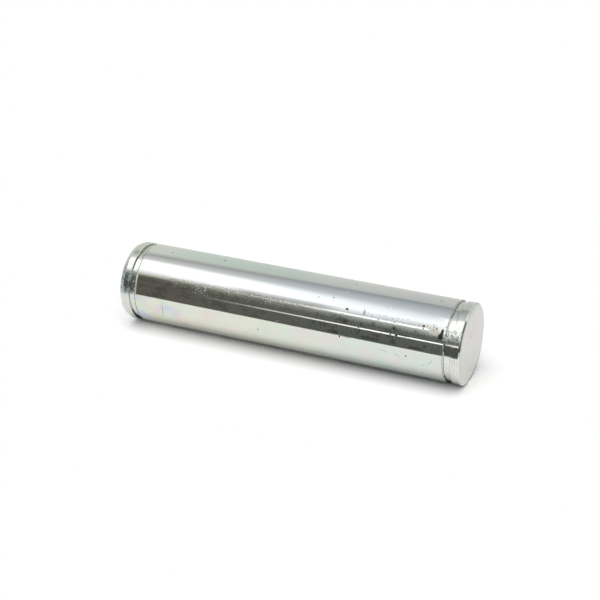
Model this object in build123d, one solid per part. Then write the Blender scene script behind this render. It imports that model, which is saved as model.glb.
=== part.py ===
from build123d import *
from math import cos, radians, sin
import os

# Pivot pin: one bar turned from end to end, standing on its far end.
# The pin's axis is Z, and the middle of its lower end face is the origin.
# All sizes are in millimetres and all angles in degrees.

# The bar
PIN_DIAMETER = 30.0
PIN_LENGTH = 135.0

# The broken edge at each end: how far it runs along the pin, and how deep
TOP_END_EDGE_LENGTH = 0.45
TOP_END_EDGE_DEPTH = 0.8
BOTTOM_END_EDGE_LENGTH = 1.65
BOTTOM_END_EDGE_DEPTH = 0.7

# The two grooves that each hold a spring ring on the shank
GROOVE_WIDTH = 2.3
GROOVE_DEPTH = 0.7
TOP_COLLAR = 3.35
BOTTOM_COLLAR = 3.95

# Broken edges of the grooves, as the turning tool left them
COLLAR_EDGE = 0.12
TOP_SHANK_EDGE_LENGTH = 0.35
TOP_SHANK_EDGE_DEPTH = 0.35
BOTTOM_SHANK_EDGE_LENGTH = 0.6
BOTTOM_SHANK_EDGE_DEPTH = 0.35

# The tapered nick that a blow left in the shank below the top groove.
# Bearings go round the pin's axis from the front, -Y, towards +X.
NICK_TIP_BEARING = -11.5
NICK_TIP_BELOW_GROOVE = 1.6
NICK_FOOT_BEARING = 1.5
NICK_FOOT_BELOW_GROOVE = 1.95
NICK_WIDTH = 1.4
NICK_DEPTH = 0.55

# Sizes that follow from those above
PIN_RADIUS = PIN_DIAMETER / 2
BOTTOM_GROOVE_LOW = BOTTOM_COLLAR
BOTTOM_GROOVE_HIGH = BOTTOM_COLLAR + GROOVE_WIDTH
TOP_GROOVE_HIGH = PIN_LENGTH - TOP_COLLAR
TOP_GROOVE_LOW = TOP_GROOVE_HIGH - GROOVE_WIDTH


def groove_outline(low, high, low_edge, high_edge):
    """Outline points of one ring groove, from its lower to its upper side.

    Each edge is a pair: how far the broken edge runs along the pin, and how deep."""
    floor_radius = PIN_RADIUS - GROOVE_DEPTH
    low_length, low_depth = low_edge
    high_length, high_depth = high_edge
    return [
        (PIN_RADIUS, low - low_length),
        (PIN_RADIUS - low_depth, low),
        (floor_radius, low),
        (floor_radius, high),
        (PIN_RADIUS - high_depth, high),
        (PIN_RADIUS, high + high_length),
    ]


def half_section():
    """Half of the pin's section, from the axis out to its surface and back."""
    collar_edge = (COLLAR_EDGE, COLLAR_EDGE)
    bottom_shank_edge = (BOTTOM_SHANK_EDGE_LENGTH, BOTTOM_SHANK_EDGE_DEPTH)
    top_shank_edge = (TOP_SHANK_EDGE_LENGTH, TOP_SHANK_EDGE_DEPTH)
    lower_end = [
        (0, 0),
        (PIN_RADIUS - BOTTOM_END_EDGE_DEPTH, 0),
        (PIN_RADIUS, BOTTOM_END_EDGE_LENGTH),
    ]
    bottom_groove = groove_outline(BOTTOM_GROOVE_LOW, BOTTOM_GROOVE_HIGH, collar_edge, bottom_shank_edge)
    top_groove = groove_outline(TOP_GROOVE_LOW, TOP_GROOVE_HIGH, top_shank_edge, collar_edge)
    upper_end = [
        (PIN_RADIUS, PIN_LENGTH - TOP_END_EDGE_LENGTH),
        (PIN_RADIUS - TOP_END_EDGE_DEPTH, PIN_LENGTH),
        (0, PIN_LENGTH),
    ]
    return lower_end + bottom_groove + top_groove + upper_end


def turned_pin():
    """The bar with its broken end edges and both grooves, turned in one setting."""
    outline = Plane.XZ * Polyline(*half_section(), close=True)
    return revolve(make_face(outline), Axis.Z)


def point_at(bearing, radius, height):
    angle = radians(bearing)
    return Vector(radius * sin(angle), -radius * cos(angle), height)


def nick_cutter():
    """A cone laid along the surface: it starts at nothing and ends at the nick's full width."""
    foot_radius = NICK_WIDTH / 2
    tip = point_at(NICK_TIP_BEARING, PIN_RADIUS, TOP_GROOVE_LOW - NICK_TIP_BELOW_GROOVE)
    foot = point_at(
        NICK_FOOT_BEARING, PIN_RADIUS + foot_radius - NICK_DEPTH, TOP_GROOVE_LOW - NICK_FOOT_BELOW_GROOVE
    )
    along = foot - tip
    cone = Cone(0, foot_radius, along.length, align=(Align.CENTER, Align.CENTER, Align.MIN))
    return Plane(origin=tip, z_dir=along) * cone


os.makedirs("parts", exist_ok=True)
pivot_pin = turned_pin() - nick_cutter()
export_step(pivot_pin, "parts/pivot_pin.step")
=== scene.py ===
import math

import bpy
from mathutils import Matrix, Vector


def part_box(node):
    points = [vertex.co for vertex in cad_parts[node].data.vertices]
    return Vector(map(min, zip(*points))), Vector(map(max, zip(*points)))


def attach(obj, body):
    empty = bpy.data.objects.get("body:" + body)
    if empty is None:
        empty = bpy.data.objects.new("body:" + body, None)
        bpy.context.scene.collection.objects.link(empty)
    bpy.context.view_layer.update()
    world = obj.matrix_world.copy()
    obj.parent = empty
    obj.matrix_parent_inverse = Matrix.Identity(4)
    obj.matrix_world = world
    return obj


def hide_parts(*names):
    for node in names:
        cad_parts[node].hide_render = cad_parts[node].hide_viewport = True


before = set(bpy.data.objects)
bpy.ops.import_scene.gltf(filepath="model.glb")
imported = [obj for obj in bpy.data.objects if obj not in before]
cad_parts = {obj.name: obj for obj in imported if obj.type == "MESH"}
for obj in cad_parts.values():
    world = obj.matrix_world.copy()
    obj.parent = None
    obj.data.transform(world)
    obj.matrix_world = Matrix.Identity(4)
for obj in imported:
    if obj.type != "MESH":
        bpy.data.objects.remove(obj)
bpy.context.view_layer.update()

# Pivot pin of bright zinc-plated steel, standing on its far end in the frame.
# Heights are measured up the pin's axis from its lower end. Bearings go round the
# axis from the front, -Y, towards +X. Lengths are in metres and angles in degrees,
# but in the finishes, which read their place in millimetres, lengths are too.

MM = 0.001

# The pin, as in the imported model
pin_low, pin_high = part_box("pivot_pin")
PIN_RADIUS = min(pin_high.x, pin_high.y, -pin_low.x, -pin_low.y)
PIN_LENGTH = pin_high.z - pin_low.z
TOP_END_EDGE = (0.45 * MM, 0.8 * MM)
BOTTOM_END_EDGE = (1.65 * MM, 0.7 * MM)
GROOVE_WIDTH = 2.3 * MM
GROOVE_DEPTH = 0.7 * MM
TOP_COLLAR = 3.35 * MM
BOTTOM_COLLAR = 3.95 * MM
COLLAR_EDGE = 0.12 * MM
TOP_SHANK_EDGE = (0.35 * MM, 0.35 * MM)
BOTTOM_SHANK_EDGE = (0.6 * MM, 0.35 * MM)
TOP_GROOVE_LOW = PIN_LENGTH - TOP_COLLAR - GROOVE_WIDTH
SHANK_LOW = BOTTOM_COLLAR + GROOVE_WIDTH + BOTTOM_SHANK_EDGE[0]
NICK_TIP = (-11.5, TOP_GROOVE_LOW - 1.6 * MM)
NICK_FOOT = (1.5, TOP_GROOVE_LOW - 1.95 * MM)
NICK_WIDTH = 1.4 * MM
NICK_DEPTH = 0.55 * MM

# How finely the pin is turned
TURN_STEPS = 256
FRONT_CROWDING = 0.7
EDGE_ROUNDING = 0.09 * MM
EDGE_STEPS = 3
SUPPORT_ROW = 0.15 * MM
LONG_ROW = 2.5 * MM
NICK_ROW = 0.1 * MM
NICK_LOW = NICK_FOOT[1] - NICK_WIDTH
NICK_HIGH = NICK_TIP[1] + NICK_WIDTH
LEAST_NICK_WIDTH = 1e-6
WELD_DISTANCE = 1e-6
# A surface that looks along the axis by this much or more is a face
FACE_SLOPE = 0.95

# The photograph's view
CAMERA_PLACE = Vector((0.0, -0.4716, 0.2548))
CAMERA_AIM = Vector((-0.0039, 0.0, 0.0677))
CAMERA_LENS = 82.0
SENSOR_WIDTH = 36.0
CAMERA_CLIP = 0.01
FLOOR_UP_BEARING = -61.9

# Kinds of node that recur: a type and its settings
PLUS = ("ShaderNodeMath", {"operation": "ADD"})
MINUS = ("ShaderNodeMath", {"operation": "SUBTRACT"})
TIMES = ("ShaderNodeMath", {"operation": "MULTIPLY"})
DIVIDED_BY = ("ShaderNodeMath", {"operation": "DIVIDE"})
LARGEST = ("ShaderNodeMath", {"operation": "MAXIMUM"})
POWER = ("ShaderNodeMath", {"operation": "POWER"})
ROOT = ("ShaderNodeMath", {"operation": "SQRT"})
UNSIGNED = ("ShaderNodeMath", {"operation": "ABSOLUTE"})
SINE = ("ShaderNodeMath", {"operation": "SINE"})
COSINE = ("ShaderNodeMath", {"operation": "COSINE"})
LESS_THAN = ("ShaderNodeMath", {"operation": "LESS_THAN"})
MORE_THAN = ("ShaderNodeMath", {"operation": "GREATER_THAN"})
EVEN_STEP = ("ShaderNodeMapRange", {})
SOFT_STEP = ("ShaderNodeMapRange", {"interpolation_type": "SMOOTHSTEP"})
SPLIT = ("ShaderNodeSeparateXYZ", {})


def linear(hex_colour):
    """A colour written as sRGB hex, turned to linear light."""
    channels = [int(hex_colour[i : i + 2], 16) / 255 for i in (1, 3, 5)]
    lit = [c / 12.92 if c <= 0.04045 else ((c + 0.055) / 1.055) ** 2.4 for c in channels]
    return (*lit, 1.0)


def node(tree, kind, inputs=(), output=0, **settings):
    """Adds a node of a type or of a kind above, with its settings. Its inputs, in order or by
    name, are set to values or joined to sockets. Gives one output, or all of them for None."""
    type_name, usual = kind if isinstance(kind, tuple) else (kind, {})
    made = tree.nodes.new(type_name)
    for name, value in {**usual, **settings}.items():
        setattr(made, name, value)
    given = inputs.items() if isinstance(inputs, dict) else enumerate(inputs)
    for socket, value in given:
        if isinstance(value, bpy.types.NodeSocket):
            tree.links.new(value, made.inputs[socket])
        else:
            made.inputs[socket].default_value = value
    return made.outputs if output is None else made.outputs[output]


def chain(tree, kind, first, *others):
    """The first value joined in turn to each of the others: added up, multiplied and so on."""
    for other in others:
        first = node(tree, kind, (first, other))
    return first


def at_bearing(bearing, distance, height=0.0):
    """The point at a bearing, a distance from the pin's axis and a height."""
    angle = math.radians(bearing)
    return Vector((distance * math.sin(angle), -distance * math.cos(angle), height))


def new_object(name, vertices, edges=(), faces=()):
    """An object with a plain mesh, in the scene."""
    mesh = bpy.data.meshes.new(name)
    mesh.from_pydata(vertices, edges, faces)
    made = bpy.data.objects.new(name, mesh)
    bpy.context.scene.collection.objects.link(made)
    return made


# The pin's shape


def spaced(start, end, spacing):
    """Points from start towards end, evenly spaced, without the two ends."""
    steps = max(1, math.ceil(abs(end - start) / spacing))
    return [start + (end - start) * i / steps for i in range(1, steps)]


def groove_corners(low, low_edge, high_edge):
    """A ring groove's corners from a height up, with the broken edges on both sides of it."""
    high = low + GROOVE_WIDTH
    floor = PIN_RADIUS - GROOVE_DEPTH
    return [
        (PIN_RADIUS, low - low_edge[0]),
        (PIN_RADIUS - low_edge[1], low),
        (floor, low),
        (floor, high),
        (PIN_RADIUS - high_edge[1], high),
        (PIN_RADIUS, high + high_edge[0]),
    ]


def section_corners():
    """Corners of the pin's half section, from the middle of the lower face to the upper one's."""
    collar = (COLLAR_EDGE, COLLAR_EDGE)
    return [
        (0.0, 0.0),
        (PIN_RADIUS - BOTTOM_END_EDGE[1], 0.0),
        (PIN_RADIUS, BOTTOM_END_EDGE[0]),
        *groove_corners(BOTTOM_COLLAR, collar, BOTTOM_SHANK_EDGE),
        *groove_corners(TOP_GROOVE_LOW, TOP_SHANK_EDGE, collar),
        (PIN_RADIUS, PIN_LENGTH - TOP_END_EDGE[0]),
        (PIN_RADIUS - TOP_END_EDGE[1], PIN_LENGTH),
        (0.0, PIN_LENGTH),
    ]


def between(start, end):
    """Points from one corner to the next: close to both, so that shading turns only at the
    corner, then evenly along a long stretch and closer beside the nick."""
    length = math.dist(start, end)
    inset = min(SUPPORT_ROW, length / 3)
    last = length - inset
    stops = [inset, *spaced(inset, last, LONG_ROW), last]
    if start[1] < NICK_LOW < end[1]:
        low, high = NICK_LOW - start[1], NICK_HIGH - start[1]
        stops = [inset, *spaced(inset, low, LONG_ROW), low, *spaced(low, high, NICK_ROW), high, last]
    return [tuple(a + (b - a) * stop / length for a, b in zip(start, end)) for stop in stops]


def half_section():
    """The pin's half section, as points of radius and height."""
    corners = section_corners()
    section = [corners[0]]
    for start, end in zip(corners, corners[1:]):
        section += [*between(start, end), end]
    return section


def pressed_nick(tree, bearing, height, depth):
    """How deep the nick is at a point: it widens and deepens along one line of the unrolled
    surface, then stops short."""
    tip_across = math.radians(NICK_TIP[0]) * PIN_RADIUS
    foot_across = math.radians(NICK_FOOT[0]) * PIN_RADIUS
    nick_length = math.hypot(foot_across - tip_across, NICK_FOOT[1] - NICK_TIP[1])
    along_x = (foot_across - tip_across) / nick_length
    along_y = (NICK_FOOT[1] - NICK_TIP[1]) / nick_length
    signed = node(tree, "ShaderNodeMath", (bearing, math.pi, -math.pi), operation="WRAP")
    across = chain(tree, MINUS, chain(tree, TIMES, signed, PIN_RADIUS), tip_across)
    up = chain(tree, MINUS, height, NICK_TIP[1])
    run = chain(tree, PLUS, chain(tree, TIMES, across, along_x), chain(tree, TIMES, up, along_y))
    off_line = chain(tree, MINUS, chain(tree, TIMES, up, along_x), chain(tree, TIMES, across, along_y))
    share = chain(tree, DIVIDED_BY, run, nick_length)
    half_width = chain(tree, LARGEST, chain(tree, TIMES, share, NICK_WIDTH / 2), LEAST_NICK_WIDTH)
    aside = chain(tree, DIVIDED_BY, off_line, half_width)
    bowl = chain(tree, MINUS, 1.0, chain(tree, POWER, aside, 2.0))
    inside = chain(tree, TIMES, chain(tree, LESS_THAN, share, 1.0), chain(tree, LARGEST, bowl, 0.0))
    return chain(tree, TIMES, depth, chain(tree, LARGEST, share, 0.0), inside)


def finished(tree, pin, given):
    """The pin with its finishes: the ground shank's all over, then what was only turned, then
    the faced ends."""
    place = node(tree, "GeometryNodeInputPosition")
    height = node(tree, SPLIT, (place,), output="Z")
    slope = node(tree, SPLIT, (node(tree, "GeometryNodeInputNormal"),), output="Z")
    past_bottom = chain(tree, LESS_THAN, height, SHANK_LOW)
    past_top = chain(tree, MORE_THAN, height, TOP_GROOVE_LOW - TOP_SHANK_EDGE[0])
    is_face = chain(tree, MORE_THAN, node(tree, UNSIGNED, (slope,)), FACE_SLOPE)
    at_bottom = chain(tree, LESS_THAN, height, TOP_END_EDGE[0] / 2)
    at_top = chain(tree, MORE_THAN, height, PIN_LENGTH - TOP_END_EDGE[0] / 2)
    for finish, selection in (
        ("Shank Finish", True),
        ("Turned Finish", chain(tree, PLUS, past_bottom, past_top)),
        ("Faced Finish", chain(tree, TIMES, is_face, chain(tree, PLUS, at_bottom, at_top))),
    ):
        pin = node(
            tree,
            "GeometryNodeSetMaterial",
            {"Geometry": pin, "Selection": selection, "Material": given[finish]},
        )
    return pin


def turning_tree():
    """Turns a half section round the pin's axis, with rounded corners and the nick pressed in."""
    tree = bpy.data.node_groups.new("turned_pin", "GeometryNodeTree")
    identifiers = {}
    for name, kind in (
        ("Half Section", "NodeSocketGeometry"),
        ("Turn Steps", "NodeSocketInt"),
        ("Front Crowding", "NodeSocketFloat"),
        ("Edge Rounding", "NodeSocketFloat"),
        ("Edge Steps", "NodeSocketInt"),
        ("Nick Depth", "NodeSocketFloat"),
        ("Shank Finish", "NodeSocketMaterial"),
        ("Turned Finish", "NodeSocketMaterial"),
        ("Faced Finish", "NodeSocketMaterial"),
    ):
        identifiers[name] = tree.interface.new_socket(name, in_out="INPUT", socket_type=kind).identifier
    tree.interface.new_socket("Pin", in_out="OUTPUT", socket_type="NodeSocketGeometry")
    given = node(tree, "NodeGroupInput", output=None)

    curve = node(tree, "GeometryNodeMeshToCurve", (given["Half Section"],))
    rounding = {"Curve": curve, "Count": given["Edge Steps"], "Radius": given["Edge Rounding"]}
    rounded = node(tree, "GeometryNodeFilletCurve", {**rounding, "Limit Radius": True}, mode="POLY")
    profile = node(tree, "GeometryNodeCurveToPoints", (rounded,), mode="EVALUATED")
    rows = node(
        tree, "GeometryNodeAttributeDomainSize", (profile,), output="Point Count", component="POINTCLOUD"
    )
    columns = chain(tree, PLUS, given["Turn Steps"], 1.0)
    grid = node(tree, "GeometryNodeMeshGrid", {"Vertices X": columns, "Vertices Y": rows})

    # each point of the grid is a column, which is a turn, and a row, which is a profile point
    index = node(tree, "GeometryNodeInputIndex")
    column = chain(tree, DIVIDED_BY, chain(tree, PLUS, index, 0.5), rows)
    turn = node(tree, "ShaderNodeMath", (column,), operation="FLOOR")
    row = chain(tree, MINUS, index, chain(tree, TIMES, turn, rows))
    whole_row = node(tree, "ShaderNodeMath", (row,), operation="ROUND")
    profile_point = node(
        tree,
        "GeometryNodeSampleIndex",
        {"Geometry": profile, "Value": node(tree, "GeometryNodeInputPosition"), "Index": whole_row},
        data_type="FLOAT_VECTOR",
        domain="POINT",
    )
    profile_radius, _, height = node(tree, SPLIT, (profile_point,), output=None)

    # the columns crowd towards the front, where the nick needs them
    even = chain(tree, TIMES, chain(tree, DIVIDED_BY, turn, given["Turn Steps"]), 2 * math.pi)
    crowded = chain(tree, TIMES, node(tree, SINE, (even,)), given["Front Crowding"])
    bearing = chain(tree, MINUS, even, crowded)
    press = pressed_nick(tree, bearing, height, given["Nick Depth"])
    on_shank = chain(tree, MORE_THAN, profile_radius, PIN_RADIUS - NICK_DEPTH)
    radius = chain(tree, MINUS, profile_radius, chain(tree, TIMES, press, on_shank))
    turned_point = node(
        tree,
        "ShaderNodeCombineXYZ",
        (
            chain(tree, TIMES, radius, node(tree, SINE, (bearing,))),
            chain(tree, TIMES, radius, node(tree, COSINE, (bearing,)), -1.0),
            height,
        ),
    )
    turned = node(tree, "GeometryNodeSetPosition", {"Geometry": grid, "Position": turned_point})
    welding = {"Geometry": turned, "Distance": WELD_DISTANCE}
    closed = node(tree, "GeometryNodeMergeByDistance", welding)
    smooth = node(tree, "GeometryNodeSetShadeSmooth", {"Geometry": closed, "Shade Smooth": True})
    real = node(tree, "GeometryNodeRealizeInstances", (smooth,))
    node(tree, "NodeGroupOutput", (finished(tree, real, given),), output=None)
    return tree, identifiers


def turned_pin(finishes):
    """The pin's finished mesh, turned from its half section."""
    points = [(radius, 0.0, height) for radius, height in half_section()]
    edges = [(i, i + 1) for i in range(len(points) - 1)]
    blank = new_object("half_section", points, edges)
    tree, identifiers = turning_tree()
    turning = blank.modifiers.new("turning", "NODES")
    turning.node_group = tree
    settings = {
        "Turn Steps": TURN_STEPS,
        "Front Crowding": FRONT_CROWDING,
        "Edge Rounding": EDGE_ROUNDING,
        "Edge Steps": EDGE_STEPS,
        "Nick Depth": NICK_DEPTH,
        **finishes,
    }
    for name, value in settings.items():
        turning[identifiers[name]] = value
    bpy.context.view_layer.update()
    graph = bpy.context.evaluated_depsgraph_get()
    mesh = bpy.data.meshes.new_from_object(blank.evaluated_get(graph))
    bpy.data.objects.remove(blank)
    mesh.name = "plated_pin"
    pin = bpy.data.objects.new("plated_pin", mesh)
    bpy.context.scene.collection.objects.link(pin)
    return pin


# Patterns and marks

# The grain that breaks up the outline of a mark, in millimetres, and how far it shifts it
OUTLINE_GRAIN = 0.5
OUTLINE_SHIFT = 2.2
# A mark's outline, from where it is full to where it is gone, in parts of its own reach
MARK_OUTLINE = (0.6, 1.5)
# A speck's outline, from its edge in to where it is full, in parts of its cell
SPECK_OUTLINE = (0.0, 0.06)


def new_material(name):
    """An empty material and its tree."""
    material = bpy.data.materials.new(name)
    material.use_nodes = True
    material.node_tree.nodes.clear()
    return material, material.node_tree


def surface_place(tree):
    """Where a point lies on the pin: its place in millimetres, its bearing and its height."""
    place = node(tree, "ShaderNodeTexCoord", output="Object")
    in_mm = node(tree, "ShaderNodeVectorMath", {0: place, "Scale": 1 / MM}, operation="SCALE")
    x, y, height = node(tree, SPLIT, (in_mm,), output=None)
    turn = node(tree, "ShaderNodeMath", (x, chain(tree, TIMES, y, -1.0)), operation="ARCTAN2")
    bearing = node(tree, "ShaderNodeMath", (turn,), operation="DEGREES")
    return in_mm, bearing, height


def distance(tree, x, y):
    """How far a point is from the origin of x and y."""
    return node(tree, ROOT, (chain(tree, PLUS, chain(tree, TIMES, x, x), chain(tree, TIMES, y, y)),))


def blobs(tree, place, size, stretch=(1.0, 1.0, 1.0), detail=2.0, seed=0.0, roughness=0.5):
    """A pattern whose blobs are about size millimetres wide, and longer along a stretched axis."""
    scale = [1 / (size * s) for s in stretch]
    fitted = node(tree, "ShaderNodeMapping", {"Vector": place, "Scale": scale})
    pattern = {"Vector": fitted, "W": seed, "Scale": 1.0, "Detail": detail, "Roughness": roughness}
    return node(tree, "ShaderNodeTexNoise", pattern, noise_dimensions="4D")


def span(tree, value, low, high, soft):
    """1 between low and high, falling to 0 over soft on both sides."""
    rise = node(tree, SOFT_STEP, (value, low - soft, low))
    fall = node(tree, SOFT_STEP, (value, high, high + soft, 1.0, 0.0))
    return chain(tree, TIMES, rise, fall)


def area(tree, bearing, height, bearings, heights):
    """1 in an area of the pin: between two bearings and two heights, each with its softness."""
    return chain(tree, TIMES, span(tree, bearing, *bearings), span(tree, height, *heights))


def painted(tree, colour, *coats):
    """A colour under coats. Each coat has where it lies, how much it covers there and its colour."""
    below = linear(colour) if isinstance(colour, str) else colour
    for where, cover, coat in coats:
        above = linear(coat) if isinstance(coat, str) else coat
        mixing = {0: chain(tree, TIMES, where, cover), 6: below, 7: above}
        below = node(tree, "ShaderNodeMix", mixing, output=2, data_type="RGBA")
    return below


def uneven(tree, place):
    """A fine shift, up and down from nothing, that breaks up the outline of a mark."""
    fine = blobs(tree, place, OUTLINE_GRAIN, seed=5.0)
    centred = (fine, OUTLINE_SHIFT, -OUTLINE_SHIFT / 2)
    return node(tree, "ShaderNodeMath", centred, operation="MULTIPLY_ADD")


def marks(tree, bearing, height, wobble, listed, unevenness=1.0):
    """1 in each listed mark, with an uneven outline."""
    shift = chain(tree, TIMES, wobble, unevenness)
    covered = 0.0
    for mark_height, mark_bearing, length, width, lean in listed:
        turned_by = chain(tree, MINUS, bearing, mark_bearing)
        across = chain(tree, TIMES, turned_by, math.radians(1.0) * PIN_RADIUS / MM)
        up = chain(tree, MINUS, height, mark_height)
        cosine, sine = math.cos(math.radians(lean)), math.sin(math.radians(lean))
        along = chain(tree, PLUS, chain(tree, TIMES, up, cosine), chain(tree, TIMES, across, sine))
        aside = chain(tree, MINUS, chain(tree, TIMES, across, cosine), chain(tree, TIMES, up, sine))
        reach = chain(
            tree,
            PLUS,
            chain(tree, POWER, chain(tree, DIVIDED_BY, along, length / 2), 2.0),
            chain(tree, POWER, chain(tree, DIVIDED_BY, aside, width / 2), 2.0),
            shift,
        )
        mark = node(tree, SOFT_STEP, (reach, *MARK_OUTLINE, 1.0, 0.0))
        covered = chain(tree, LARGEST, covered, mark)
    return covered


def specks(tree, place, width, largest, density):
    """1 in small round specks in cells of a width, up to a largest size where the density is 1."""
    cells = node(
        tree,
        "ShaderNodeTexVoronoi",
        {"Vector": place, "Scale": 1 / width, "Randomness": 1.0},
        output=None,
    )
    chance = node(tree, "ShaderNodeSeparateColor", (cells["Color"],))
    reach = chain(tree, TIMES, chance, density, largest)
    return node(tree, SOFT_STEP, (chain(tree, MINUS, reach, cells["Distance"]), *SPECK_OUTLINE))


def metal(tree, colour, roughness, relief):
    """Finishes a plated surface whose relief is a height in millimetres."""
    bump = node(tree, "ShaderNodeBump", {"Strength": 1.0, "Distance": MM, "Height": relief})
    surface = {"Base Color": colour, "Metallic": 1.0, "Roughness": roughness, "Normal": bump}
    shader = node(tree, "ShaderNodeBsdfPrincipled", surface)
    node(tree, "ShaderNodeOutputMaterial", (shader,), output=None)


# Heights and a bearing past the pin's own, for areas that run off it
PAST_TOP = 300.0
PAST_BOTTOM = -300.0
ROUND_BACK = 400.0

# The bearings from which the film shows, on the side that faces down, and the heights
# between which it turns from cream to green
FILM_SIDE = (15.0, 26.0)
FILM_TURN = (60.0, 100.0)
# The film's soft patches there: tone, width in millimetres, seed, and the strength at the
# lower and at the upper end of the shank, which changes over between two heights
FILM_TONES = (
    ("#f1ebb4", 5.5, 2.0, 0.70, 0.10),
    ("#c8e9de", 6.0, 47.0, 0.45, 0.20),
    ("#f6d0d6", 5.0, 21.0, 0.65, 0.25),
    ("#cbd2f4", 5.5, 33.0, 0.65, 0.05),
)
FILM_CHANGE = (12.0, 34.0)
# Painted shade on the side next to the floor, a thin layer and a thick one: the bearings from which it
# shows, the heights between which it thickens, and how much it covers at both
UNDERSIDE_SHADE = (
    ((55.0, 68.0), (8.0, 24.0), (0.03, 0.19)),
    ((70.0, 86.0), (10.0, 124.0), (0.26, 0.56)),
)

# Areas of the shank, as the bearings and the heights between which each lies. Each pair is
# followed by how softly it ends.
MINT = ((-ROUND_BACK, -52.0, 8.0), (30.0, 66.0, 16.0))
LAVENDER = ((-50.0, -32.0, 7.0), (74.0, PAST_TOP, 26.0))
SCUFFED = ((-10.0, 0.0, 5.0), (26.0, PAST_TOP, 14.0))
WORST_SCUFFED = ((-5.0, 4.0, 4.0), (30.0, 36.0, 3.0))
GRAINED = ((-10.5, -5.0, 2.5), (24.0, 74.0, 10.0))
MOTTLED = ((-3.0, 20.0, 1.5), (PAST_BOTTOM, PAST_TOP, 1.0))
BETWEEN_LINES = ((-3.5, 5.0, 1.5), (90.0, PAST_TOP, 24.0))
BELOW_LINES = ((10.0, 20.5, 1.5), (90.0, PAST_TOP, 24.0))
HAZY = ((-13.5, -9.5, 2.5), (54.0, 80.0, 12.0))
DUSTY = ((-15.0, -10.0, 2.0), (104.0, PAST_TOP, 12.0))
PITTED = ((-16.0, -9.0, 3.0), (106.0, PAST_TOP, 18.0))
SPECKLED = ((-30.0, 24.0, 10.0), (PAST_BOTTOM, PAST_TOP, 1.0))
# the rubbed rim is also painted lighter, as a painted highlight
RUBBED_RIM_AND_HIGHLIGHT = ((-8.0, 20.0, 2.0), (SHANK_LOW / MM - 0.1, SHANK_LOW / MM + 0.35, 0.1))
# How some of these change up the pin: two heights, and the strength at both
SCUFFING_FADE = (58.0, 78.0, 1.0, 0.2)
MOTTLING_FADE = (50.0, 80.0, 1.0, 0.3)
SPECKLING_RISE = (55.0, 105.0, 0.4, 0.65)
LIGHT_SPOTS_RISE = (45.0, 60.0, 0.5, 1.0)
# Specks: how far apart they are, and the largest, as a share of that
SCUFF_FLECKS = (0.75, 0.58)
PIT_SPECKS = (1.0, 0.30)
COLLAR_CHIPS = (1.5, 0.5)

# Marks on the shank: height, bearing, length up the pin, width round it and lean
PITS = (
    (91.8, -14.5, 1.1, 0.8, 20.0),
    (97.4, 6.6, 0.7, 0.6, 0.0),
    (110.3, 0.0, 1.0, 1.2, 0.0),
    (111.6, 7.4, 0.8, 1.2, 0.0),
    (109.4, 7.8, 0.5, 0.7, 0.0),
    (90.6, 24.4, 0.5, 1.1, 0.0),
    (115.7, 34.3, 0.6, 0.5, 30.0),
    (90.7, -62.4, 0.6, 0.5, 0.0),
    (123.3, -59.5, 0.6, 0.6, 0.0),
    (58.1, 40.2, 0.5, 0.5, 0.0),
    (38.1, -60.6, 0.9, 0.5, 0.0),
    (16.4, -55.1, 0.7, 0.5, 0.0),
    (66.0, 21.0, 0.6, 0.4, 0.0),
    (80.0, -24.0, 0.5, 0.3, 0.0),
    (85.5, -27.5, 0.6, 0.3, 15.0),
    (120.7, -11.7, 0.9, 0.8, 0.0),
)
SCRATCHES = (
    (18.3, 39.0, 0.16, 7.4, 4.0),
    (112.5, 36.5, 3.0, 0.14, 25.0),
    (107.0, 33.0, 4.2, 0.12, 6.0),
    (124.5, 38.0, 3.4, 0.14, -50.0),
    (122.0, 44.0, 2.2, 0.12, -40.0),
    (93.0, 24.0, 3.0, 0.25, 3.0),
)
LIGHT_SPOTS = (
    (89.6, -40.6, 0.7, 0.6, 0.0),
    (30.4, -3.6, 1.3, 0.30, 62.0),
    (32.8, -0.6, 1.9, 0.24, 30.0),
    (35.8, -1.8, 1.2, 0.28, -18.0),
    (32.2, 3.9, 1.1, 0.32, 6.0),
    (34.6, 2.4, 1.4, 0.26, -52.0),
    (37.2, 4.8, 1.3, 0.26, 80.0),
    (41.0, 6.2, 1.0, 0.35, 0.0),
)
SMEARS = (
    (91.0, 1.0, 5.0, 1.8, 8.0),
    (110.6, -0.5, 2.4, 2.0, 0.0),
    (114.0, 6.0, 4.0, 1.0, 4.0),
    (88.0, 19.5, 4.5, 1.1, 0.0),
    (101.0, 19.0, 5.5, 1.2, 0.0),
    (104.5, 13.0, 3.0, 0.9, 10.0),
    (119.0, 20.0, 5.0, 0.9, 0.0),
    (98.4, -14.5, 1.0, 2.4, -8.0),
)

# Marks round the nick, measured from its middle: its dark inside, the burr that it threw up
# on the groove's side and the rubbed patch below it
NICK_MIDDLE = ((NICK_TIP[1] + NICK_FOOT[1]) / 2 / MM, (NICK_TIP[0] + NICK_FOOT[0]) / 2)
NICK_INSIDE = ((-0.15, 3.6, 1.9, 2.8, 6.0), (0.10, -1.8, 1.1, 3.0, 6.0))
NICK_BURR = ((1.3, 3.5, 1.0, 2.0, 0.0),)
NICK_PATCH = ((-2.6, -2.5, 4.2, 2.6, 20.0), (-4.5, -6.0, 8.0, 1.2, 12.0))


def beside_nick(listed):
    """Marks that are listed from the nick's middle, moved to their places on the pin."""
    middle_height, middle_bearing = NICK_MIDDLE
    return [(middle_height + up, middle_bearing + turn, *form) for up, turn, *form in listed]


# Finishes


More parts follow.
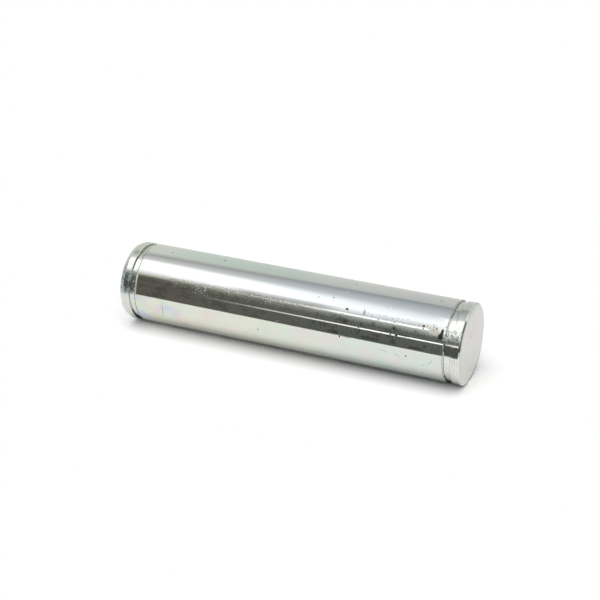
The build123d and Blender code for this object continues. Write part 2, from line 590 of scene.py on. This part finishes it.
def film_colour_and_shade(tree, place, bearing, height):
    """The thin clear film over the zinc: cream green below, mint and lavender above, and soft patches of
    yellow, rose, blue and green that are clearest near the lower end. On the side next to the floor it
    carries painted shade."""
    under = node(tree, SOFT_STEP, (bearing, *FILM_SIDE))
    upper_half = node(tree, SOFT_STEP, (height, *FILM_TURN))
    colour = painted(
        tree,
        "#e9ebe9",
        (under, 1.0, painted(tree, "#e9ecdf", (upper_half, 1.0, "#e3eae4"))),
        (area(tree, bearing, height, *MINT), 0.55, "#d3e8e0"),
        (area(tree, bearing, height, *LAVENDER), 0.35, "#dbe7ea"),
    )
    upper = node(tree, SOFT_STEP, (height, *FILM_CHANGE))
    for tone, width, seed, low, high in FILM_TONES:
        drift = blobs(tree, place, width, (1.0, 1.0, 1.3), detail=1.5, seed=seed)
        strength = node(tree, EVEN_STEP, {0: upper, 3: low, 4: high})
        cloud = node(tree, SOFT_STEP, (drift, 0.42, 0.68))
        colour = painted(tree, colour, (chain(tree, TIMES, cloud, strength), under, tone))
    # painted shade on the side next to the floor, in dark green-grey
    underside_shade = 0.0
    for side, rise, covers in UNDERSIDE_SHADE:
        thickness = node(tree, SOFT_STEP, (height, *rise, *covers))
        layer = chain(tree, TIMES, node(tree, SOFT_STEP, (bearing, *side)), thickness)
        underside_shade = chain(tree, PLUS, underside_shade, layer)
    return painted(tree, colour, (underside_shade, 1.0, "#42524a"))


def plated_shank():
    """Bright zinc plate on a ground steel shank: a near mirror under a faintly coloured clear film. The
    grinding is too fine to show, so what the eye sees is wear, with painted shade on the side next to
    the floor and a painted highlight along the rubbed rim."""
    material, tree = new_material("bright_zinc_on_ground_steel")
    place, bearing, height = surface_place(tree)
    wobble = uneven(tree, place)

    # scuffing along the side that rubbed: small dents that scatter the light, and dull flecks,
    # thickest where it was worst. Real scuffs are finer, and are drawn at 0.5 to 0.8 mm to show.
    edge = blobs(tree, place, 4.0, (1.0, 1.0, 2.0), detail=2.0, seed=9.0)
    ragged = node(tree, SOFT_STEP, (edge, 0.35, 0.6, 0.5, 1.0))
    wear_and_rim_shade = chain(tree, TIMES, area(tree, bearing, height, *SCUFFED), ragged)
    worst = area(tree, bearing, height, *WORST_SCUFFED)
    rubbed = chain(tree, TIMES, wear_and_rim_shade, node(tree, SOFT_STEP, (height, *SCUFFING_FADE)))
    dents = blobs(tree, place, 0.8, (1.0, 1.0, 1.1), detail=3.0, seed=3.0, roughness=0.7)
    flecks = specks(tree, place, *SCUFF_FLECKS, chain(tree, LARGEST, rubbed, worst))
    fine = blobs(tree, place, 0.55, (1.0, 1.0, 1.2), detail=2.0, seed=14.0, roughness=0.7)
    fine_spots = node(tree, SOFT_STEP, (fine, 0.48, 0.58))
    grained = chain(tree, TIMES, area(tree, bearing, height, *GRAINED), fine_spots)

    # brown mottling where the lower half looks dark
    mottle = blobs(tree, place, 2.6, (1.0, 1.0, 1.8), detail=3.0, seed=23.0, roughness=0.65)
    fading = node(tree, SOFT_STEP, (height, *MOTTLING_FADE))
    mottle_spots = node(tree, SOFT_STEP, (mottle, 0.44, 0.62))
    mottled = chain(tree, TIMES, area(tree, bearing, height, *MOTTLED), fading, mottle_spots)

    # smears that dull the dark side in the upper half, and haze beside it
    cloudy = blobs(tree, place, 0.9, (2.0, 2.0, 0.9), detail=4.0, seed=7.0, roughness=0.7)
    blots = blobs(tree, place, 3.2, (1.0, 1.0, 1.3), detail=3.0, seed=17.0, roughness=0.6)
    between_lines = area(tree, bearing, height, *BETWEEN_LINES)
    side = chain(tree, LARGEST, between_lines, area(tree, bearing, height, *BELOW_LINES))
    drawn = chain(tree, TIMES, side, node(tree, SOFT_STEP, (cloudy, 0.40, 0.66)), 0.35)
    blot_spots = node(tree, SOFT_STEP, (blots, 0.52, 0.64))
    dull = chain(tree, TIMES, side, blot_spots, node(tree, SOFT_STEP, (cloudy, 0.35, 0.55)), 0.5)
    hazy = chain(tree, TIMES, area(tree, bearing, height, *HAZY), 0.62)
    dust = node(tree, SOFT_STEP, (cloudy, 0.4, 0.75))
    dusty = chain(tree, TIMES, area(tree, bearing, height, *DUSTY), dust, 0.35)
    smears = marks(tree, bearing, height, wobble, SMEARS, unevenness=1.6)
    streaked = chain(tree, TIMES, smears, node(tree, SOFT_STEP, (cloudy, 0.3, 0.55)), 0.55)
    smeared = chain(tree, LARGEST, dull, streaked)

    # pits: the listed ones, and specks that are thickest beside the scuffing near the top
    thick = chain(tree, TIMES, area(tree, bearing, height, *PITTED), 1.4)
    more_above = node(tree, SOFT_STEP, (height, *SPECKLING_RISE))
    spread = chain(tree, TIMES, area(tree, bearing, height, *SPECKLED), more_above)
    scattered = specks(tree, place, *PIT_SPECKS, chain(tree, LARGEST, thick, spread))
    pits = marks(tree, bearing, height, wobble, PITS)
    scratched = marks(tree, bearing, height, wobble, SCRATCHES, unevenness=0.6)
    pitted = chain(tree, LARGEST, pits, chain(tree, TIMES, scattered, 0.6))
    fainter_below = node(tree, SOFT_STEP, (height, *LIGHT_SPOTS_RISE))
    bright = chain(tree, TIMES, marks(tree, bearing, height, wobble, LIGHT_SPOTS), fainter_below)

    # the rubbed rim above the shank's lower edge: rougher wear, and painted lighter as a painted
    # highlight that widens the edge's pale line against the dark side
    rim = area(tree, bearing, height, *RUBBED_RIM_AND_HIGHLIGHT)

    nick = marks(tree, bearing, height, wobble, beside_nick(NICK_INSIDE), unevenness=0.4)
    burr = marks(tree, bearing, height, wobble, beside_nick(NICK_BURR))
    patch = marks(tree, bearing, height, wobble, beside_nick(NICK_PATCH), unevenness=1.2)

    colour = painted(
        tree,
        film_colour_and_shade(tree, place, bearing, height),
        (mottled, 0.30, "#77684c"),
        (chain(tree, LARGEST, drawn, hazy, dusty), 1.0, "#a6a6a2"),
        (smeared, 1.0, "#56575a"),
        (patch, 0.6, "#e6e2cd"),
        (grained, 0.45, "#706f66"),
        (flecks, 0.22, "#a8a497"),
        (scratched, 0.5, "#5c5d56"),
        # light spots, and the rubbed rim painted lighter as a painted highlight
        (chain(tree, LARGEST, bright, chain(tree, TIMES, rim, 0.8)), 1.0, "#f6f6f2"),
        (pitted, 0.9, "#2c2b28"),
        (nick, 0.9, "#333d2d"),
    )
    cloud = blobs(tree, place, 9.0, detail=2.0, seed=6.0)
    soiled = chain(tree, LARGEST, pitted, nick, scratched)
    roughness = chain(
        tree,
        PLUS,
        node(tree, SOFT_STEP, (cloud, 0.3, 0.7, 0.045, 0.075)),
        chain(tree, TIMES, wear_and_rim_shade, 0.03),
        chain(tree, TIMES, patch, 0.32),
        chain(tree, TIMES, bright, 0.5),
        chain(tree, TIMES, flecks, 0.28),
        chain(tree, TIMES, rim, 0.5),
        chain(tree, TIMES, soiled, 0.35),
    )
    relief = chain(
        tree,
        PLUS,
        chain(tree, TIMES, rubbed, dents, 0.065),
        chain(tree, TIMES, burr, 0.25),
        chain(tree, TIMES, chain(tree, LARGEST, pits, scratched), -0.05),
    )
    metal(tree, colour, roughness, relief)
    return material


# Painted shade in the grooves' lower corners: height, the bearings between which it lies, its width, how
# much it covers the metal, and its colour. The wide one greys most of the groove's floor.
CORNER_SHADE = (
    (BOTTOM_COLLAR / MM, (-180.0, -46.0), 1.60, 0.55, "#6a6b59"),
    (BOTTOM_COLLAR / MM, (-46.0, -34.0), 0.50, 0.60, "#666854"),
    (BOTTOM_COLLAR / MM, (-34.0, -15.0), 0.28, 0.80, "#3c413b"),
    (BOTTOM_COLLAR / MM, (26.0, 56.0), 0.16, 0.40, "#77706a"),
    (BOTTOM_COLLAR / MM, (56.0, 180.0), 0.28, 0.80, "#37392f"),
    (TOP_GROOVE_LOW / MM, (-180.0, -33.0), 0.26, 0.75, "#2c302c"),
    (TOP_GROOVE_LOW / MM, (27.0, 60.0), 0.16, 0.55, "#70746a"),
    (TOP_GROOVE_LOW / MM, (60.0, 180.0), 0.30, 0.80, "#2c302c"),
)
# How softly the painted shade ends round the pin, and how much of its width is fully shaded
CORNER_SHADE_ENDS = 3.0
CORNER_SHADE_FULL = 0.4

# How far under the shank's surface the painted shade in a groove is full, and how far it starts
GROOVE_START = (0.3, 0.1)

# Heights at which the lower end's look ends and the upper end's starts
END_CHANGE = (20.0, 100.0)

# The collars' knocked fronts: the bearings between which they start, the bearing that they
# reach at the lower and at the upper end, and how softly they end there
FRONT_START = (-16.0, -9.0)
FRONT_REACH = (22.0, 2.0)
FRONT_SOFT = 6.0

# The lower edge of the shank, which kept its plating: its middle, and how far from there the
# knocks start and are full
SHANK_EDGE_MIDDLE = (BOTTOM_COLLAR + GROOVE_WIDTH + BOTTOM_SHANK_EDGE[0] / 2) / MM
SHANK_EDGE_REACH = (0.30, 0.42)

# Painted shade: the upper groove is painted brown where it crosses the dark side, and the collar above
# it dimmer there, which deepens their dark reflection
TOP_GROOVE_HIGH = (TOP_GROOVE_LOW + GROOVE_WIDTH) / MM
GROOVE_SHADE_ON_DARK_SIDE = ((4.0, 24.0, 1.5), (TOP_GROOVE_LOW / MM - 0.4, TOP_GROOVE_HIGH, 0.1))
COLLAR_SHADE_ON_DARK_SIDE = ((3.0, 20.0, 2.0), (TOP_GROOVE_HIGH, PIN_LENGTH / MM, 0.1))

# Where the collar goes over to its broken edge, beside the upper face
TOP_EDGE_LOW = (PIN_LENGTH - TOP_END_EDGE[0]) / MM
TOP_EDGE_START = (TOP_EDGE_LOW - 0.15, TOP_EDGE_LOW + 0.05)
# The bearings at which the pin's top side ends and its underside starts
TOP_SIDE_END = (-46.0, -34.0)
UNDERSIDE_START = (64.0, 84.0)


def plated_turning():
    """Bright zinc over turned steel on the collars and in the grooves: fine rings and spots, and painted
    shade in the grooves' corners, where the metal crosses the dark side, on top of the broken edge and
    underneath. The turning marks are drawn 0.3 mm apart, since real ones are too fine to show."""
    material, tree = new_material("bright_zinc_on_turned_steel")
    place, bearing, height = surface_place(tree)
    rings = blobs(tree, place, 0.3, (14.0, 14.0, 1.0), detail=2.0, seed=1.0)
    streaks = blobs(tree, place, 0.45, (6.0, 6.0, 1.0), detail=3.0, seed=4.0, roughness=0.6)
    spots = blobs(tree, place, 1.0, detail=3.0, seed=8.0, roughness=0.7)
    x, y, _ = node(tree, SPLIT, (place,), output=None)
    under_surface = [PIN_RADIUS / MM - depth for depth in GROOVE_START]
    in_groove = node(tree, SOFT_STEP, (distance(tree, x, y), *under_surface, 1.0, 0.0))

    # the front of both collars took knocks, the lower one further round
    reach = node(tree, SOFT_STEP, (height, *END_CHANGE, *FRONT_REACH))
    past_reach = chain(tree, MINUS, bearing, reach)
    off_middle = node(tree, UNSIGNED, (chain(tree, MINUS, height, SHANK_EDGE_MIDDLE),))
    front = chain(
        tree,
        TIMES,
        node(tree, SOFT_STEP, (bearing, *FRONT_START)),
        node(tree, SOFT_STEP, (past_reach, 0.0, FRONT_SOFT, 1.0, 0.0)),
        node(tree, SOFT_STEP, (off_middle, *SHANK_EDGE_REACH)),
    )
    knocked = chain(tree, TIMES, front, node(tree, SOFT_STEP, (spots, 0.5, 0.6)))
    lower = chain(tree, TIMES, front, node(tree, SOFT_STEP, (height, *END_CHANGE, 1.0, 0.0)))
    chips = specks(tree, place, *COLLAR_CHIPS, lower)
    colour = painted(
        tree,
        "#e9ece6",
        (node(tree, SOFT_STEP, (spots, 0.55, 0.7)), 0.35, "#b3b8b6"),
        (node(tree, SOFT_STEP, (streaks, 0.45, 0.65)), 0.35, "#a8a79c"),
        (lower, 0.5, "#9fb0ae"),
        (knocked, 0.6, "#566060"),
        (chips, 0.7, "#c3cdcb"),
    )
    # painted shade in the grooves' lower corners
    for corner, bearings, width, cover, tone in CORNER_SHADE:
        away = node(tree, UNSIGNED, (chain(tree, MINUS, height, corner),))
        thinning = node(tree, SOFT_STEP, (away, CORNER_SHADE_FULL * width, width, 1.0, 0.0))
        lies = chain(tree, TIMES, thinning, span(tree, bearing, *bearings, CORNER_SHADE_ENDS), in_groove)
        colour = painted(tree, colour, (lies, cover, tone))

    # painted shade: the edge beside the face is painted grey on top, which dims its reflection there,
    # and the collar is painted dark underneath, next to the floor
    on_edge = node(tree, SOFT_STEP, (height, *TOP_EDGE_START))
    on_top = node(tree, SOFT_STEP, (bearing, *TOP_SIDE_END, 1.0, 0.0))
    underside_painted_shade = node(tree, SOFT_STEP, (bearing, *UNDERSIDE_START))
    colour = painted(
        tree,
        colour,
        (area(tree, bearing, height, *GROOVE_SHADE_ON_DARK_SIDE), 0.4, "#74685c"),
        (area(tree, bearing, height, *COLLAR_SHADE_ON_DARK_SIDE), 0.35, "#5f5c52"),
        (chain(tree, TIMES, on_edge, on_top), 0.5, "#a8afae"),
        (chain(tree, TIMES, underside_painted_shade, chain(tree, MINUS, 1.0, on_edge)), 0.7, "#3c4c47"),
    )
    roughness = chain(
        tree,
        PLUS,
        node(tree, SOFT_STEP, (spots, 0.3, 0.7, 0.05, 0.09)),
        chain(tree, TIMES, front, 0.06),
        chain(tree, TIMES, chips, 0.4),
    )
    dented = node(tree, SOFT_STEP, (height, *END_CHANGE, 0.11, 0.03))
    relief = chain(
        tree,
        PLUS,
        chain(tree, TIMES, rings, 0.006),
        chain(tree, TIMES, spots, 0.006),
        chain(tree, TIMES, spots, front, dented),
        chain(tree, TIMES, knocked, -0.035),
    )
    metal(tree, colour, roughness, relief)
    return material


# The upper end face, in millimetres: its radius, marks on it as x, y and radius and how much of a mark's
# radius is full, how far in from its rim its painted shade reaches, and how far in its painted rim shade
# starts and is full. The bearings of both painted shades are followed by how softly they end.
FACE_RADIUS = (PIN_RADIUS - TOP_END_EDGE[1]) / MM
FACE_MARKS = ((-2.5, -4.0, 0.9), (3.0, 6.5, 0.5), (12.6, 5.0, 0.7), (-12.9, 2.0, 0.5))
FACE_MARK_FULL = 0.4
FACE_SHADE = (2.6, 0.0)
FACE_SHADE_BEARINGS = (-60.0, 60.0, 30.0)
FACE_RIM_SHADE = (0.9, 0.4)
FACE_RIM_SHADE_BEARINGS = (122.0, 168.0, 12.0)


def plated_face():
    """Zinc plate over a faced end: satin, with no clear reflection, with painted shade near its rim, and
    a darker line of painted shade at its rim on the side next to the floor. The grain of the facing is
    drawn at 0.4 mm, since the real one is too fine to show."""
    material, tree = new_material("satin_zinc_on_faced_steel")
    place, bearing, _ = surface_place(tree)
    cloud = blobs(tree, place, 9.0, detail=2.0, seed=12.0)
    grain = blobs(tree, place, 0.4, detail=2.0, seed=13.0)
    x, y, _ = node(tree, SPLIT, (place,), output=None)
    radius = distance(tree, x, y)
    stain = 0.0
    for mark_x, mark_y, mark_radius in FACE_MARKS:
        away = distance(tree, chain(tree, MINUS, x, mark_x), chain(tree, MINUS, y, mark_y))
        mark = node(tree, SOFT_STEP, (away, FACE_MARK_FULL * mark_radius, mark_radius, 1.0, 0.0))
        stain = chain(tree, LARGEST, stain, mark)
    shade_start, shade_end = (FACE_RADIUS - inset for inset in FACE_SHADE)
    rim_shade_start, rim_shade_end = (FACE_RADIUS - inset for inset in FACE_RIM_SHADE)
    shaded = node(tree, SOFT_STEP, (radius, shade_start, shade_end))
    wear_and_rim_shade = node(tree, SOFT_STEP, (radius, rim_shade_start, rim_shade_end))
    colour = painted(
        tree,
        "#e6eae3",
        (node(tree, SOFT_STEP, (cloud, 0.38, 0.62)), 1.0, "#ece7e6"),
        (chain(tree, TIMES, stain, node(tree, SOFT_STEP, (grain, 0.35, 0.6))), 0.6, "#85867f"),
        # painted shade near the rim, and a darker line of painted shade at the rim next to the floor
        (chain(tree, TIMES, shaded, span(tree, bearing, *FACE_SHADE_BEARINGS)), 0.45, "#c9cdc8"),
        (chain(tree, TIMES, wear_and_rim_shade, span(tree, bearing, *FACE_RIM_SHADE_BEARINGS)), 0.8, "#59605a"),
    )
    roughness = node(tree, SOFT_STEP, (cloud, 0.3, 0.7, 0.38, 0.46))
    metal(tree, colour, roughness, chain(tree, TIMES, grain, 0.01))
    return material


# The floor: how far it reaches in front of the pin at its own low and high end, behind it and
# along it. The gain overexposes it a little for the camera, and away from the pin and past the
# pin's ends it fades to the world's white.
FLOOR_GAP = 0.02 * MM
FLOOR_FRONT_LOW = 83 * MM
FLOOR_FRONT_HIGH = 57.5 * MM
FLOOR_BACK = 900 * MM
FLOOR_LOW = -600 * MM
FLOOR_HIGH = 190 * MM
FLOOR_COLOUR = "#f0f0f0"
FLOOR_GAIN = 1.27
FLOOR_FADE = (30 * MM, 110 * MM)
FLOOR_END_FADE = (0.0, 22 * MM)


def floor_material():
    """Matt white paper, a little overexposed in the picture. It is clear from behind, so that
    the pin can be looked at from below."""
    material, tree = new_material("white_paper")
    seen = node(tree, "ShaderNodeLightPath", output="Is Camera Ray")
    gain = node(tree, EVEN_STEP, {0: seen, 3: 1.0, 4: FLOOR_GAIN})
    white = {0: linear(FLOOR_COLOUR)[:3], "Scale": gain}
    paper = node(
        tree, "ShaderNodeBsdfDiffuse", (node(tree, "ShaderNodeVectorMath", white, operation="SCALE"),)
    )
    clear = node(tree, "ShaderNodeBsdfTransparent")
    behind = node(tree, "ShaderNodeNewGeometry", output="Backfacing")
    x, y, z = node(tree, SPLIT, (node(tree, "ShaderNodeTexCoord", output="Object"),), output=None)
    aside = node(tree, SOFT_STEP, (distance(tree, x, y), *FLOOR_FADE))
    past_end = chain(tree, LARGEST, chain(tree, MINUS, z, PIN_LENGTH), chain(tree, TIMES, z, -1.0))
    beyond = node(tree, SOFT_STEP, (past_end, *FLOOR_END_FADE))
    faded = chain(tree, TIMES, seen, chain(tree, LARGEST, aside, beyond))
    hidden = chain(tree, LARGEST, behind, faded)
    both = node(tree, "ShaderNodeMixShader", (hidden, paper, clear))
    node(tree, "ShaderNodeOutputMaterial", (both,), output=None)
    return material


def paper_floor():
    """The floor that the pin lies on in the photograph: it touches the shank along one line."""
    up = at_bearing(FLOOR_UP_BEARING, 1.0)
    across = Vector((0, 0, 1)).cross(up)
    foot = -up * (PIN_RADIUS + FLOOR_GAP)
    low, high = Vector((0, 0, FLOOR_LOW)), Vector((0, 0, FLOOR_HIGH))
    corners = [
        foot + across * FLOOR_FRONT_LOW + low,
        foot + across * FLOOR_FRONT_HIGH + high,
        foot - across * FLOOR_BACK + high,
        foot - across * FLOOR_BACK + low,
    ]
    floor = new_object("floor", corners, faces=[(0, 1, 2, 3)])
    floor.data.materials.append(floor_material())


# Cards stand round the pin like a light tent. Each runs between two bearings, which are
# given at the tent's foot and top, with its brightness at both edges, foot and top.
TENT_RADIUS = 0.9
TENT_LOW = -0.9
TENT_HIGH = -0.05
FOOT_HEIGHT = -0.467
TOP_HEIGHT = -0.14
CARD_STEP = 3.0
WALL = ("#f2f7ee", "#f6f6f4")
LAMP = ("#ffffff", "#f3f7fd")
ROOM = ("#fffae9", "#f5fdf6")
EDGE = ("#fcfbf4", "#fcfef6")
CARDS = (
    # name, foot bearings, top bearings, foot light, top light, colours at foot and top
    ("far_wall", (-174, -150), (-174, -150), (0.60, 0.76), (0.80, 0.74), WALL),
    ("back_wall", (-150, -100), (-150, -100), (0.77, 0.77), (0.73, 0.62), WALL),
    ("wall_hem", (-100, -86), (-100, -93), (0.77, 0.55), (0.62, 0.36), WALL),
    ("lamp_skirt", (-86, -66), (-93, -66), (0.38, 0.74), (0.40, 0.70), LAMP),
    ("lamp_edge", (-66, -56), (-66, -54), (0.85, 1.60), (0.70, 0.95), LAMP),
    ("lamp_cloth", (-56, -34), (-54, -34), (1.60, 1.40), (0.97, 1.38), LAMP),
    ("lamp_hem", (-34, -20), (-34, -18), (1.40, 0.72), (1.28, 0.58), LAMP),
    ("room_edge", (-20, -12), (-18, -12), (0.80, 0.15), (0.62, 0.50), EDGE),
    ("room_glow", (-12, 2), (-12, 2), (0.13, 0.09), (0.50, 0.165), ROOM),
    ("room", (2, 60), (2, 60), (0.112, 0.112), (0.15, 0.115), ROOM),
)
# Two narrow lamps in the room, which are seen from part way up the pin: the height at which
# each starts to show and the height from which it is fully bright come first
LINE_RADIUS = 0.88
UPPER_LINE = ("#fff8dc", "#ffffff")
LOWER_LINE = ("#f6f2dc", "#fffdf6")
LINES = (
    (-0.34, -0.22, "upper_line", (-18.2, -14.6), (-18.2, -14.6), (0.5, 0.5), (1.7, 1.7), UPPER_LINE),
    (-0.385, -0.18, "lower_line", (13.3, 16.1), (14.1, 16.9), (0.10, 0.10), (1.7, 1.7), LOWER_LINE),
)
# Cards that hang inside the tent: bearings, radius and height of the first and last edge,
# brightness and tint. Only the near collar and groove look at the first two, and only the
# broken edge of the near end face looks at the third.
INNER_CARDS = (
    ("collar_glow", (-57.0, -14.0), (0.86, -0.1065), (0.86, -0.03), 1.45, "#fffef8"),
    ("collar_glint", (-13.0, -4.0), (0.86, -0.1065), (0.86, -0.03), 1.20, "#e6f4ff"),
    ("edge_shade", (120.0, 240.0), (0.42, 0.80), (0.12, 0.80), 0.15, "#ffffff"),
)


def light_material(name, colours, low, high):
    """A lit cloth: its mesh carries the brightness, and its tint runs from low to high."""
    material, tree = new_material(name)
    place = node(tree, "ShaderNodeTexCoord", output="Object")
    rise = node(tree, EVEN_STEP, (node(tree, SPLIT, (place,), output="Z"), low, high))
    tint = painted(tree, colours[0], (rise, 1.0, colours[1]))
    brightness = node(tree, "ShaderNodeAttribute", output="Fac", attribute_name="brightness")
    light = node(tree, "ShaderNodeEmission", {"Color": tint, "Strength": brightness})
    node(tree, "ShaderNodeOutputMaterial", (light,), output=None)
    return material


def mixed(pair, share):
    """The value a share of the way from the first of a pair to the second."""
    return pair[0] + (pair[1] - pair[0]) * share


def hang(name, points, faces, brightness, colours, low, high):
    """A card that shows in the plating and not to the camera."""
    made = new_object(name, points, faces=faces)
    values = made.data.attributes.new("brightness", "FLOAT", "POINT").data
    for value, light in zip(values, brightness):
        value.value = light
    made.data.materials.append(light_material(name, colours, low, high))
    for ray in ("camera", "diffuse", "transmission", "volume_scatter", "shadow"):
        setattr(made, "visible_" + ray, False)


def card_shares(bearings):
    """Even shares of the way across a card, close enough together for it to look curved."""
    steps = max(1, math.ceil((bearings[1] - bearings[0]) / CARD_STEP))
    return [i / steps for i in range(steps + 1)]


def card(radius, low, high, name, foot_bearings, top_bearings, foot_light, top_light, colours):
    """A curved card: below low and above high it goes on as it is there."""
    heights = (TENT_LOW, low, high, TENT_HIGH)
    shares = card_shares(foot_bearings)
    points, brightness = [], []
    for share in shares:
        for z in heights:
            rise = min(1.0, max(0.0, (z - low) / (high - low)))
            bearing = mixed((mixed(foot_bearings, share), mixed(top_bearings, share)), rise)
            points.append(at_bearing(bearing, radius, z))
            brightness.append(mixed((mixed(foot_light, share), mixed(top_light, share)), rise))
    rows = len(heights)
    faces = []
    for here in range(0, rows * (len(shares) - 1), rows):
        there = here + rows
        faces += [(here + j, here + j + 1, there + j + 1, there + j) for j in range(rows - 1)]
    hang(name, points, faces, brightness, colours, low, high)


def inner_card(name, bearings, first_edge, last_edge, light, tint):
    """A card of one brightness and tint, curved between two edges."""
    across = [mixed(bearings, share) for share in card_shares(bearings)]
    corners = [at_bearing(bearing, *edge) for bearing in across for edge in (first_edge, last_edge)]
    faces = [(i, i + 1, i + 3, i + 2) for i in range(0, len(corners) - 2, 2)]
    hang(name, corners, faces, [light] * len(corners), (tint, tint), 0.0, 1.0)


# The room above and below the tent, as rings: radius, height, brightness outside the dark
# part and brightness in it. Each has the bearings between which its dark part lies.
CANOPY_LIGHT = 0.90
CANOPY_DARK = 0.12
CANOPY_PROFILE = ((0.9, -0.05), (0.9, 0.45), (0.6, 0.80), (0.3, 0.88), (0.02, 0.92))
CANOPY = [(radius, z, CANOPY_LIGHT, CANOPY_DARK) for radius, z in CANOPY_PROFILE]
CANOPY_DARK_BEARINGS = (16.0, 84.0)
UNDERLAY = (
    (0.9, -0.9, 0.70, 0.54),
    (0.26, -0.92, 0.70, 0.53),
    (0.18, -0.93, 0.84, 0.84),
    (0.08, -0.93, 1.50, 1.50),
    (0.001, -0.93, 1.60, 1.60),
)
UNDERLAY_DARK_BEARINGS = (-70.0, 14.0)
SURROUND_SOFT = 14.0
SURROUND_STEPS = 72
SURROUND_TINT = ("#fbfcf9", "#f7f9f4")
SURROUND_TINT_RISE = (0.0, 0.9)


def surround(name, rings, dark_bearings):
    """A closed sweep of rings round the pin's axis, lit but for its dark part."""
    dark_start, dark_end = dark_bearings
    points, brightness = [], []
    for i in range(SURROUND_STEPS):
        bearing = -180.0 + 360.0 * i / SURROUND_STEPS
        outside = max(dark_start - bearing, bearing - dark_end, 0.0)
        for radius, z, light, dark in rings:
            points.append(at_bearing(bearing, radius, z))
            brightness.append(mixed((dark, light), min(1.0, outside / SURROUND_SOFT)))
    rows = len(rings)
    faces = []
    for i in range(SURROUND_STEPS):
        here, there = i * rows, (i + 1) % SURROUND_STEPS * rows
        faces += [(here + j, here + j + 1, there + j + 1, there + j) for j in range(rows - 1)]
    hang(name, points, faces, brightness, SURROUND_TINT, *SURROUND_TINT_RISE)


# The lamp that lights the floor, from the side of the pin that faces up
KEY_BEARING = -38.0
KEY_DISTANCE = 0.7
KEY_WIDTH = 1.0
KEY_LENGTH = 1.2
KEY_POWER = 6.2
KEY_HEIGHT = 0.18


def key_lamp():
    """A large soft lamp, upright along the pin. The metal sees its cloth among the cards."""
    data = bpy.data.lights.new("key_lamp", "AREA")
    data.shape = "RECTANGLE"
    data.size = KEY_WIDTH
    data.size_y = KEY_LENGTH
    data.energy = KEY_POWER
    lamp = bpy.data.objects.new("key_lamp", data)
    bpy.context.scene.collection.objects.link(lamp)
    back = at_bearing(KEY_BEARING, 1.0)
    up = Vector((0, 0, 1))
    turned = Matrix((up.cross(back), up, back)).transposed().to_4x4()
    place = back * KEY_DISTANCE + Vector((0, 0, KEY_HEIGHT))
    lamp.matrix_world = Matrix.Translation(place) @ turned
    lamp.visible_glossy = False
    lamp.visible_camera = False


WORLD_FILL = 0.40


def world_light():
    """White all round: 1.0 to the camera and to the metal, and a soft fill on matt surfaces."""
    world = bpy.data.worlds.new("white_studio")
    bpy.context.scene.world = world
    world.use_nodes = True
    tree = world.node_tree
    tree.nodes.clear()
    rays = node(tree, "ShaderNodeLightPath", output=None)
    clear_rays = [rays[f"Is {name} Ray"] for name in ("Camera", "Glossy", "Transmission")]
    strength = node(tree, EVEN_STEP, {0: chain(tree, LARGEST, *clear_rays), 3: WORLD_FILL, 4: 1.0})
    white = {"Color": linear("#ffffff"), "Strength": strength}
    background = node(tree, "ShaderNodeBackground", white)
    node(tree, "ShaderNodeOutputWorld", (background,), output=None)


def photo_camera():
    """Looks at the lying pin as the photograph does, so the floor's up is up in the picture."""
    data = bpy.data.cameras.new("photo_camera")
    data.lens = CAMERA_LENS
    data.sensor_width = SENSOR_WIDTH
    data.clip_start = CAMERA_CLIP
    camera = bpy.data.objects.new("photo_camera", data)
    bpy.context.scene.collection.objects.link(camera)
    back = (CAMERA_PLACE - CAMERA_AIM).normalized()
    right = at_bearing(FLOOR_UP_BEARING, 1.0).cross(back).normalized()
    up = back.cross(right)
    turned = Matrix((right, up, back)).transposed().to_4x4()
    camera.matrix_world = Matrix.Translation(CAMERA_PLACE) @ turned
    bpy.context.scene.camera = camera


photo_camera()
world_light()
key_lamp()
paper_floor()
surround("canopy", CANOPY, CANOPY_DARK_BEARINGS)
surround("underlay", UNDERLAY, UNDERLAY_DARK_BEARINGS)
for settings in INNER_CARDS:
    inner_card(*settings)
for settings in CARDS:
    card(TENT_RADIUS, FOOT_HEIGHT, TOP_HEIGHT, *settings)
for line_foot, line_top, *settings in LINES:
    card(LINE_RADIUS, line_foot, line_top, *settings)

finishes = {
    "Shank Finish": plated_shank(),
    "Turned Finish": plated_turning(),
    "Faced Finish": plated_face(),
}
pin = turned_pin(finishes)
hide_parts("pivot_pin")
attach(pin, "root")

bpy.context.scene.view_settings.view_transform = "Standard"
